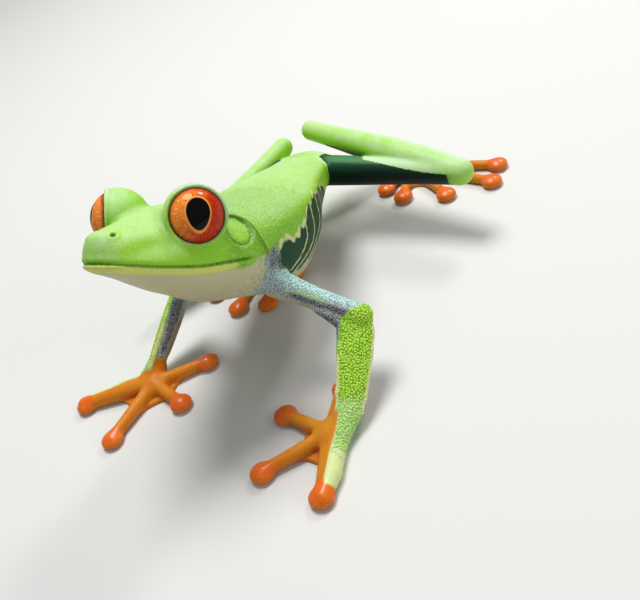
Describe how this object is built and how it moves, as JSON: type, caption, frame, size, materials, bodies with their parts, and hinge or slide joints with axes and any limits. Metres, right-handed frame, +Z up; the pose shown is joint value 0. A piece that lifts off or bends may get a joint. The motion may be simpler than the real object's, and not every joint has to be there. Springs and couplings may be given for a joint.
{
  "type": "red-eyed tree frog",
  "caption": "Life-size red-eyed tree frog standing on all fours with its head raised, arms and toes spread flat on the floor, as a still display model.",
  "frame": {"origin": "On the floor, under the middle of the frog's box.", "axes": "+Y runs back along the body, so the frog faces -Y. +Z is up. +X is the frog's own left."},
  "size_m": [0.0589, 0.0689, 0.0323],
  "materials": {
    "green_skin": "yellow-green moist skin with fine granules",
    "blue_skin": "dark navy and blue-grey moist skin, speckled",
    "orange_skin": "smooth moist orange skin of the hands and feet",
    "eye": "wet orange-red iris with a black upright pupil"
  },
  "bodies": {
    "root": {"head": "green_skin", "trunk": "green_skin", "upper_arm_L": "blue_skin", "upper_arm_R": "blue_skin", "forearm_L": "green_skin", "forearm_R": "green_skin", "hand_L": "orange_skin", "hand_R": "orange_skin", "thigh_L": "blue_skin", "thigh_R": "blue_skin", "shank_L": "green_skin", "shank_R": "green_skin", "tarsus_L": "green_skin", "tarsus_R": "green_skin", "foot_L": "orange_skin", "foot_R": "orange_skin", "eye_L": "eye", "eye_R": "eye"}
  },
  "joints": []
}
